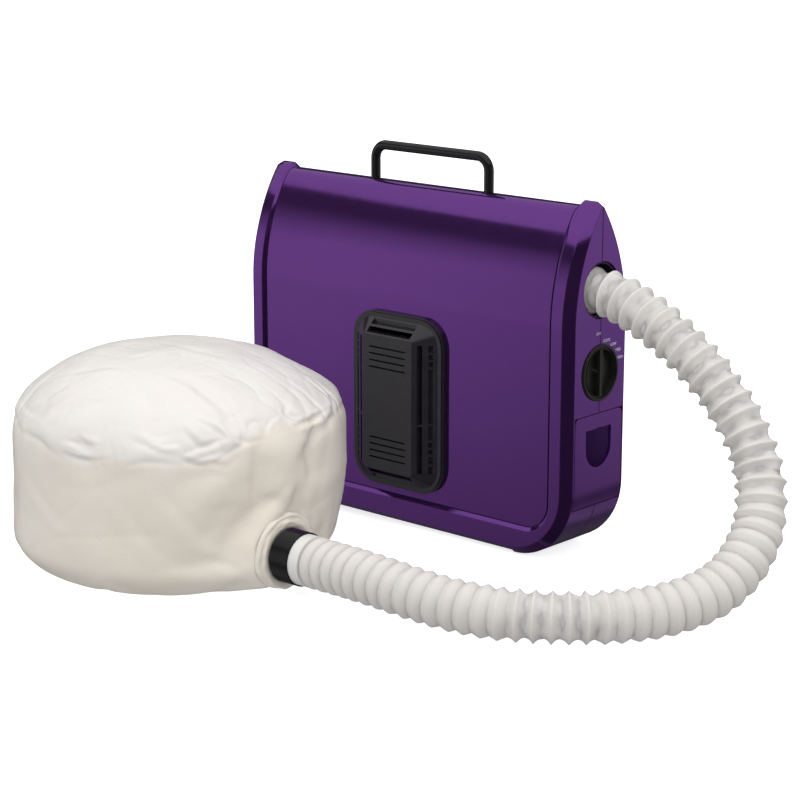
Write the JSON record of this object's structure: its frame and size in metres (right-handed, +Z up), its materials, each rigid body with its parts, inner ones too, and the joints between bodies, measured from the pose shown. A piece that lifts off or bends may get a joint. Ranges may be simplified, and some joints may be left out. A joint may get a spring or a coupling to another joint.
{
  "type": "soft bonnet hair dryer",
  "caption": "Portable soft-bonnet hair dryer: purple case with fold-down handle, side dial, cord door and vented front, joined by a ribbed hose to a puffed fabric bonnet.",
  "frame": {"origin": "on the floor under the middle of the case", "axes": "+Z up, +X along the case towards the side with the dial and the hose, -Y towards the vented front"},
  "size_m": [0.5778, 0.379, 0.314],
  "materials": {
    "case_gloss": "high gloss moulded",
    "case_shell": "satin gloss moulded",
    "black_satin": "satin moulded",
    "filter_black": "matt moulded",
    "dial_black": "satin moulded",
    "rubber_black": "matt",
    "compartment_black": "matt moulded",
    "screw_steel": "zinc plated",
    "pin_steel": "bright drawn",
    "bracket_steel": "pressed sheet",
    "motor_steel": "pressed can",
    "bearing_bronze": "sintered",
    "switch_body": "moulded",
    "duct_grey": "moulded",
    "fan_grey": "moulded",
    "heater_steel": "rolled",
    "mica": "mica sheet",
    "coil_wire": "heat tinted wire",
    "safety_parts": "phenolic",
    "hose_vinyl": "soft translucent vinyl",
    "collar_black": "satin moulded",
    "port_white": "soft moulded",
    "bonnet_fabric": "coated satin cloth",
    "lining_fabric": "perforated cloth",
    "hem_fabric": "gathered cloth"
  },
  "bodies": {
    "case": {"front_shell": "case_shell", "rear_shell": "case_shell", "front_panel": "case_gloss", "rear_panel": "case_gloss", "rubber_feet": "rubber_black", "case_screws": "screw_steel", "intake_grille": "black_satin", "filter_frame": "filter_black", "filter_mesh": "filter_black", "handle_pins": "pin_steel", "handle_brackets": "bracket_steel", "bracket_screws": "screw_steel", "knob_bezel": "dial_black", "rotary_switch": "switch_body", "switch_nut": "pin_steel", "door_pin": "pin_steel", "cord_compartment": "compartment_black", "cord_gland": "rubber_black", "terminal_block": "switch_body", "blower_housing": "duct_grey", "blower_cover": "duct_grey", "cover_screws": "screw_steel", "blower_screws": "screw_steel", "motor": "motor_steel", "motor_bearing": "bearing_bronze", "motor_screws": "screw_steel", "discharge_adapter": "duct_grey", "heater_tube": "heater_steel", "heater_frame": "mica", "heater_coil": "coil_wire", "thermostat": "safety_parts", "thermal_fuse": "safety_parts", "outlet_duct": "duct_grey", "hose_socket": "compartment_black", "case_cuff": "hose_vinyl", "hose": "hose_vinyl", "bonnet_cuff": "hose_vinyl", "port_flange": "port_white", "port_clamp": "port_white", "bonnet_crown": "bonnet_fabric", "bonnet_side": "bonnet_fabric", "bonnet_base": "bonnet_fabric", "bonnet_lining": "lining_fabric", "rim_band": "hem_fabric", "elastic_cord": "hem_fabric"},
    "handle": {"handle": "black_satin"},
    "knob": {"knob": "dial_black", "switch_shaft": "pin_steel"},
    "cord_door": {"cord_door": "case_shell"},
    "fan": {"fan_wheel": "fan_grey", "motor_shaft": "pin_steel"},
    "lock_collar": {"lock_collar": "collar_black"}
  },
  "joints": [
    {"name": "handle_fold", "type": "hinge", "parent": "case", "child": "handle", "pos_m": [0, 0, 0.27], "axis": [-1, 0, 0], "range_deg": [0, 90]},
    {"name": "knob_turn", "type": "hinge", "parent": "case", "child": "knob", "pos_m": [0.175, 0, 0.152], "axis": [-1, 0, 0], "range_deg": [0, 80]},
    {"name": "cord_door_swing", "type": "hinge", "parent": "case", "child": "cord_door", "pos_m": [0.1715, 0, 0.048], "axis": [0, 1, 0], "range_deg": [0, 95]},
    {"name": "fan_spin", "type": "hinge", "parent": "case", "child": "fan", "pos_m": [-0.01, 0, 0.144], "axis": [0, 1, 0], "continuous": true},
    {"name": "collar_twist", "type": "hinge", "parent": "case", "child": "lock_collar", "pos_m": [0.0605, -0.222, 0.03], "axis": [1, 0, 0], "range_deg": [0, 30]}
  ]
}
